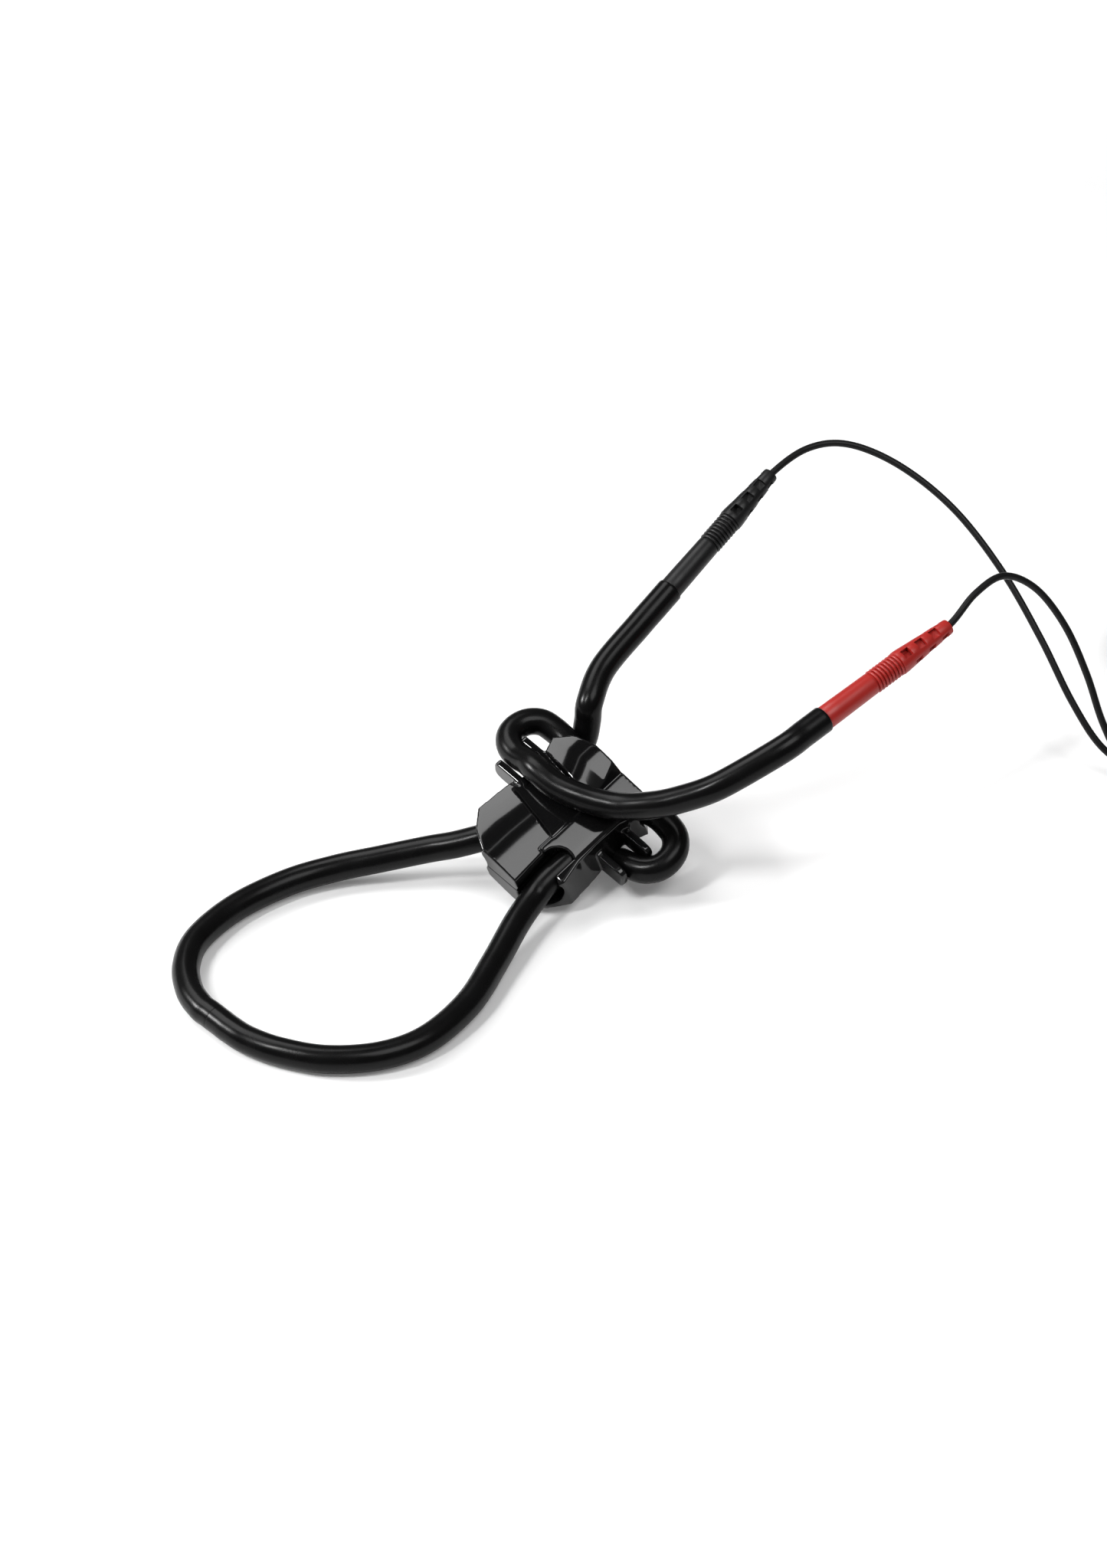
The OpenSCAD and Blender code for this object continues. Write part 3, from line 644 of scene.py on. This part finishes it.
wing_v = table_of((-19, 6), (-15.9, 11.2), (-11.3, 15), (-1.6, 14.4), (1.5, 13.7), (7, 13.7), (9.8, 14),
                  (14, 15.4), (17.7, 11.5), (19, 6))
wing_w = table_of((-11.3, 4.4), (-1.6, 4.1), (1.5, 3), (7, 3), (9.8, 4.1), (14, 4.4))
crease_v = table_of((-19, -4.2), (-4.4, -3.4), (9, -2.6), (14, -1.2), (19, 0.8))
crease_w = table_of((-11.3, 4.2), (-4.4, 4.4), (9, 4.3), (14, 4))
flank_v = table_of((-19, 6.6), (-15.9, 10.8), (-11.3, 12.6), (-5, 11.2), (1, 11), (8.5, 11.2), (12, 12.6),
                   (14, 12.6), (17.7, 10.6), (19, 6.6))
inner_v = table_of((-19, 6.1), (-15.9, 9.2), (-11.3, 9.9), (14, 9.9), (17.7, 8.6), (19, 6.1))
skirt_w = table_of((-19, 0.4), (-15.9, 1), (-11.3, seam_w), (14, seam_w), (17.7, 1), (19, 0.4))


def crown_section(u):
    """The crown's outline across the slider, from the parting line up over its arched top."""
    points = [(crown_foot_v, 0), (inner_v(u), 0), (inner_v(u), -skirt_w(u)), (flank_v(u), -skirt_w(u))]
    full = min(max(u, crown_start), crown_end)
    arch_points = 33
    for v in np.linspace(wing_v(u), crease_v(u), arch_points):
        t = (v - crease_v(full)) / (wing_v(full) - crease_v(full))
        w = crease_w(full) + (wing_w(full) - crease_w(full)) * t
        points.append((v, w + crown_lift * math.sin(math.pi * t)))
    return [(u, v, w) for v, w in points]


def lofted(name, sections, hub):
    """A closed body through sections with equal numbers of points; its ends are fans round one point."""
    size, count = len(sections[0]), len(sections)
    faces = [(i * size + j, i * size + (j + 1) % size, (i + 1) * size + (j + 1) % size, (i + 1) * size + j)
             for i in range(count - 1) for j in range(size)]
    last = (count - 1) * size
    for j in range(1, size - 1):
        a, b = (hub + j) % size, (hub + j + 1) % size
        faces += [(hub, b, a), (last + hub, last + a, last + b)]
    mesh = bpy.data.meshes.new(name)
    mesh.from_pydata([p for s in sections for p in s], [], faces)
    obj = linked(name, mesh)
    obj.hide_render = True
    return obj


def prism(name, outline, low, high, axis):
    """A straight solid of an outline: along u the outline is in v, w; along w it is in u, v."""
    place = (lambda p, h: (h, *p)) if axis == "u" else (lambda p, h: (*p, h))
    return lofted(name, [[place(p, low) for p in outline], [place(p, high) for p in outline]], 0)


def round_bore(name, line, radius):
    bore_sides = 64
    rings = turned_rings(np.array(line, float), np.full(len(line), radius), bore_sides)
    obj = linked(name, tube_mesh(name, rings, length_along(np.array(line, float)), gloss_black))
    obj.hide_render = True
    return obj


def arc_line(centre, radius, start, end, steps):
    return [(centre[0] + radius * math.cos(a), centre[1] + radius * math.sin(a), 0)
            for a in np.radians(np.linspace(start, end, steps))]


def combine(base, others, operation):
    for other in others:
        step = base.modifiers.new(operation.lower(), "BOOLEAN")
        step.object = other
        step.operation = operation
        step.solver = "MANIFOLD"


def lobe_solid():
    """The lobe over the other pole's tunnel: a round rim that runs on into a flat, gently rising roof."""
    lobe_start, lobe_end = -9.3, 18
    rim_v, roof_end_v = -9.9, -2.9
    roof_slope = math.radians(9)
    roof_end_w = roof_r / math.cos(roof_slope) + (tunnel_v + roof_end_v) * math.tan(roof_slope)
    rim = [(-tunnel_v + roof_r * math.cos(a), roof_r * math.sin(a))
           for a in np.linspace(math.pi / 2 + roof_slope, math.pi - math.asin(seam_w / roof_r), 14)]
    outline = [(rim_v, 0), (roof_end_v, 0), (roof_end_v, roof_end_w), *rim, (rim_v, seam_w)]
    return prism("lobe", outline, lobe_start, lobe_end, "u")


def finger_solids():
    """Two flat fingers that stand out sideways, one on each side of the curl, with rounded tips."""
    finger_places = (0.7, 9.1)
    finger_thickness, finger_reach, finger_root = 1.8, 20.5, 11
    finger_low, finger_high, tip_r = -1, 5, 2
    tip = [(finger_reach - tip_r + tip_r * math.cos(a), finger_low + tip_r + tip_r * math.sin(a))
           for a in np.linspace(-math.pi / 2, 0, 9)]
    tip += [(v, finger_low + finger_high - w) for v, w in reversed(tip)]
    outline = [(finger_root, finger_low), *tip, (finger_root, finger_high)]
    half = finger_thickness / 2
    return [prism("finger", outline, u - half, u + half, "u") for u in finger_places]


def open_mouth():
    """The round-ended opening in front of the lobe, where the loop's tube comes out of its tunnel."""
    mouth_u, mouth_r, mouth_low, mouth_high = -9, 3.9, 1, 7
    front = -half_length - mouth_r
    mouth = [(mouth_u + mouth_r * math.cos(a), -tunnel_v + mouth_r * math.sin(a))
             for a in np.linspace(-math.pi / 2, math.pi / 2, 33)]
    mouth += [(front, -tunnel_v - 1 + mouth_r), (front, -tunnel_v - 1 - mouth_r)]
    return prism("mouth", mouth, mouth_low, mouth_high, "w")


def crossing_channel():
    """The channel across the crown, in which the tail crosses over."""
    channel = [(-5.4, -3.2), (8, -3.2), (8.6, 3), (9.3, 9.1), (9.8, 12.5), (11.5, 24), (-0.1, 24)]
    channel_top = 10
    return prism("channel", channel, roof_r, channel_top, "w")


def tunnel_bores():
    """Both tunnels: straight, flared towards the loop in three sweeps, and bent out towards the fingers."""
    flare_start, flare_radii = -8, (10.5, 16, 32)
    bend_start, bend_r, bend_end = 10.5, 6.7, 8
    lines = [[(-half_length - 2, tunnel_v, 0), (bend_start, tunnel_v, 0)],
             arc_line((bend_start, tunnel_v + bend_r), bend_r, -90, bend_end, 30)]
    lines += [arc_line((flare_start, tunnel_v + r), r, -90, -180, 40) for r in flare_radii]
    return [round_bore("bore", [(u, side * v, w) for u, v, w in line], tunnel_r)
            for side in (1, -1) for line in lines]


def slider_half(name, lower):
    """One shell: crown, lobe and fingers joined, tunnels and channel cut, corners eased by a fine remesh."""
    section_step = 0.5
    corner_places = (-15.9, crown_start, -4.4, -1.6, 9.8, 17.7)
    places = sorted({*np.arange(-half_length, half_length + 0.01, section_step).tolist(), *corner_places})
    body = lofted(name, [crown_section(u) for u in places], hub=1)
    added = [lobe_solid(), *finger_solids()]
    cutters = [open_mouth(), crossing_channel(), *tunnel_bores()]
    combine(body, added, "UNION")
    combine(body, cutters, "DIFFERENCE")
    remesh = body.modifiers.new("remesh", "REMESH")
    remesh.mode = "VOXEL"
    remesh.voxel_size = 0.2
    remesh.use_smooth_shade = True
    corners = body.modifiers.new("corners", "SMOOTH")
    corners.factor = 0.5
    corners.iterations = 24
    seen = body.evaluated_get(bpy.context.evaluated_depsgraph_get())
    mesh = bpy.data.meshes.new_from_object(seen)
    for helper in (body, *added, *cutters):
        bpy.data.objects.remove(helper)
    mesh.name = name
    turn = Matrix.Rotation(math.pi, 4, "X") if lower else Matrix.Identity(4)
    mesh.transform(slider_to_object @ turn)
    mesh.shade_smooth()
    mesh.materials.clear()
    mesh.materials.append(gloss_black)
    return linked(name, mesh)


for name, node, lower in (("upper_shell", "slider_upper_half", False),
                          ("lower_shell", "slider_lower_half", True)):
    shell = slider_half(name, lower)
    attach(shell, "slider_and_lead")
    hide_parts(node)


# ---- Rubber tube --------------------------------------------------------------------------------------
# Carbon-filled rubber tube, one length for each pole. Each runs from the loop's tip through its tunnel,
# curls back between the fingers and over the slider, and is bored at its end for the plug's pin. A plastic
# joiner inside the tip holds the two together and keeps them apart electrically.
rubber = extruded("conductive rubber", (0.0025, 0.0025, 0.0026), 0.25, 0.12)
tube_r = 3.2
bore_r = 1.05
bore_depth = 11.5


def from_slider(*points):
    return [slider_to_object @ Vector(p) / mm for p in points]


def turned_over(points):
    return [(u, -v, -w) for u, v, w in points]


loop_tip = (-91.5, 14.5, 3.2)
in_tunnel = [(u, tunnel_v, 0) for u in (-8, -4, 0, 4, 8)]
curl = [(10.5, 8.3, 0), (13.1, 8.8, 0), (15.3, 10.3, 0), (16.7, 12.5, 0), (17.2, 15, 0), (17.2, 18, 0.3),
        (16.5, 21.2, 0.8), (14.2, 23.5, 1.2), (11.2, 24.3, 1.6), (8.2, 23.6, 2.2), (6, 21.3, 3), (5, 18, 3.9),
        (4.8, 14.5, 5.6), (4.1, 11, 7.3)]
red_route = [
    loop_tip, (-91.5, 17, 3.2), (-91.5, 19.5, 3.2), (-89.8, 25.5, 3.2), (-85, 32.5, 3.2), (-77, 37.8, 3.2),
    (-64, 40, 3.2), (-50, 38.1, 3.5), (-39.5, 33.3, 4.5), (-31, 27, 6.2), (-22.5, 20, 8.4), (-18.2, 15.5, 10),
    *from_slider((-15.4, 11.4, -0.8), (-12.7, 9.4, -0.2), (-10, 8.5, 0), *in_tunnel, *curl,
                 (3.8, 5, 8), (4.8, -0.5, 8.8), (6.8, -6.2, 9.6), (9.4, -11.6, 11)),
    (11.2, -20.5, 26.6), (14.7, -25.2, 29), (19.5, -30.3, 32.3), (26, -33.9, 35.6),
    red_end - 12 * red_axis, red_end - 6 * red_axis, red_end]
black_route = [
    loop_tip, (-91.5, 12, 3.2), (-91.5, 9.5, 3.2), (-90.9, 4, 3.2), (-88.2, -3.5, 3.2), (-82.5, -12.5, 3.2),
    (-73, -20, 3.2), (-62, -23, 3.2), (-48, -21.1, 3.4), (-35, -15.8, 4), (-23, -10.5, 5.3),
    *from_slider((-17.5, -8.8, -0.4), (-13, -tunnel_v, 0), *turned_over(in_tunnel), *turned_over(curl),
                 (3.6, -5, -8.1), (3.6, 2, -8.3), (5.8, 8, -8.8), (10, 11.8, -9.4), (15, 13, -9.2),
                 (19, 12.6, -7.2), (22, 12.8, -3.6), (24.5, 14, 0.5), (27, 15.6, 4)),
    (32.4, 17.9, 33.3), black_end - 12 * black_axis, black_end - 6 * black_axis, black_end]


def pole_tube(name, route):
    """One pole: a closed end at the tip, where the two poles meet, and a bored end at the plug.

    The ends are rings too: pairs of the distance from the end along the tube, and the radius there.
    """
    route_parts, ring_step, tube_sides = 16, 0.8, 40
    line = evenly(smooth_route(route, route_parts), ring_step)
    end = line[-1]
    ahead = (line[-1] - line[-2]) / np.linalg.norm(line[-1] - line[-2])
    start = line[0]
    behind = (line[0] - line[1]) / np.linalg.norm(line[0] - line[1])
    lead_in = [(-0.01, tube_r - 0.04), (-0.04, tube_r - 0.005), (-0.1, tube_r)]
    lead_out = [(-0.2, tube_r), (-0.05, tube_r - 0.06), (0, tube_r - 0.22), (0, 1.6), (0, bore_r + 0.12),
                (-0.12, bore_r), (-6, bore_r), (-bore_depth, bore_r)]
    rings = [*[(start + behind * x, r) for x, r in lead_in], *[(p, tube_r) for p in line[1:-1]],
             *[(end + ahead * x, r) for x, r in lead_out]]
    centres = np.array([c for c, r in rings])
    radii = np.array([r for c, r in rings])
    hair = 0.01
    guide = np.vstack([[start - behind * hair * k for k in range(len(lead_in))], line[1:-1],
                       [end + ahead * hair * k for k in range(len(lead_out))]])
    ways = turned_rings(guide * mm, np.full(len(rings), mm), tube_sides)
    spokes = (ways - ways.mean(1, keepdims=True)) / mm
    points = centres[:, None] * mm + spokes * radii[:, None, None] * mm
    return linked(name, tube_mesh(name, points, length_along(centres * mm), rubber))


for name, route, nodes_under in (("red_pole_tube", red_route, ("red_loop_tube", "red_tail_tube")),
                                 ("black_pole_tube", black_route, ("black_loop_tube", "black_tail_tube"))):
    tube = pole_tube(name, route)
    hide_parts(*nodes_under)
    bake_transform(tube)
finish_node("loop_joiner", moulded("joiner plastic", (0.75, 0.73, 0.68), 0.5, 0.0004, 0.00002))


# ---- Plugs --------------------------------------------------------------------------------------------
# Two 2 mm pin plugs, red and black: a smooth round barrel, eight fine grip ribs, and a tapered strain
# relief with windows moulded into its four sides. The pin's crimp barrel is inside.
body_length = 15
rib_count, rib_pitch = 8, 1.0
rib_ring_r, rib_bead_r = 2.46, 0.39
relief_start = body_length + rib_count * rib_pitch + 0.3
window_size, window_pitch, window_turn = 2.3, 4.5, 20
windows_per_side = 3
wire_bore_r, crimp_bore_r = 0.9, 1.45


def window_cutters():
    """Boxes that cut the windows: a row on each of four sides, staggered from one side to the next."""
    first_window, window_floor, window_top = relief_start + 1.2, 1.15, 3.6
    half = window_size / 2
    boxes = []
    for side in range(4):
        for i in range(windows_per_side):
            x = first_window + window_pitch * (i + side % 2 / 2)
            corners = [(x + a, b, c) for a in (0, window_size) for b in (-half, half)
                       for c in (window_floor, window_top)]
            turn = Matrix.Rotation(math.radians(90 * side + window_turn), 3, "X")
            mesh = bpy.data.meshes.new("window")
            mesh.from_pydata([turn @ Vector(p) for p in corners], [], [
                (0, 1, 3, 2), (4, 6, 7, 5), (0, 4, 5, 1), (2, 3, 7, 6), (0, 2, 6, 4), (1, 5, 7, 3)])
            obj = linked("window", mesh)
            obj.hide_render = True
            boxes.append(obj)
    return boxes


def plug_body(name, place, material):
    """Barrel and relief in one turned body, hollow for the wire and its crimp, with the windows cut."""
    rib_groove_r, plug_sides = 2.3, 64
    profile = [(0, 1.5), (0, 2.62), (0.08, 2.76), (0.25, 2.84), (4, 2.82), (10, 2.75), (14.6, 2.7),
               (14.9, 2.66), (15.1, rib_groove_r), (relief_start - 0.25, rib_groove_r),
               (relief_start - 0.1, 2.75), (relief_start, 2.9), (relief_start + 0.3, 2.96),
               (relief_start + 1.5, 2.92), (32, 2.35), (plug_length - 0.3, 1.88), (plug_length - 0.08, 1.8),
               (plug_length, 1.62), (plug_length, 0.98), (plug_length - 0.1, wire_bore_r), (36, wire_bore_r),
               (30, wire_bore_r), (14.5, wire_bore_r), (13.5, crimp_bore_r), (7, crimp_bore_r)]
    body = revolved(name, profile, plug_sides, Matrix.Identity(4), material)
    boxes = window_cutters()
    combine(body, boxes, "DIFFERENCE")
    edge = body.modifiers.new("edge", "BEVEL")
    edge.width = 0.09
    edge.segments = 2
    edge.limit_method = "ANGLE"
    edge.angle_limit = math.radians(50)
    seen = body.evaluated_get(bpy.context.evaluated_depsgraph_get())
    mesh = bpy.data.meshes.new_from_object(seen)
    for helper in (body, *boxes):
        bpy.data.objects.remove(helper)
    mesh.name = name
    mesh.transform(place)
    mesh.shade_smooth()
    sharp_from = math.radians(40)
    mesh.set_sharp_from_angle(angle=sharp_from)
    return linked(name, mesh)


red_plastic = moulded("red plug moulding", (0.36, 0.013, 0.009), 0.38, 0.0003, 0.00001)
grey_black = moulded("black plug moulding", (0.006, 0.006, 0.0063), 0.38, 0.0003, 0.00002, IOR=1.38)
crimp_metal = moulded("crimp brass", (0.72, 0.55, 0.25), 0.3, 0.0004, 0.000008, Metallic=1.0)
for colour, end, axis, plastic in (("red", red_end, red_axis, red_plastic),
                                   ("black", black_end, black_axis, grey_black)):
    place = along_axis(end, axis)
    body = plug_body(f"{colour}_plug_barrel", place, plastic)
    tree = ring_row_tree(f"{colour} plug ribs", plastic)
    ribs = ring_row(f"{colour}_plug_ribs", tree, rib_count, rib_pitch, rib_ring_r, rib_bead_r,
                    first=body_length + 0.75, place=place)
    for piece in (body, ribs):
        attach(piece, f"{colour}_plug")
    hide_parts(f"{colour}_plug_moulding")
    finish_node(f"{colour}_plug_pin", plated)
    finish_node(f"{colour}_plug_crimp", crimp_metal)
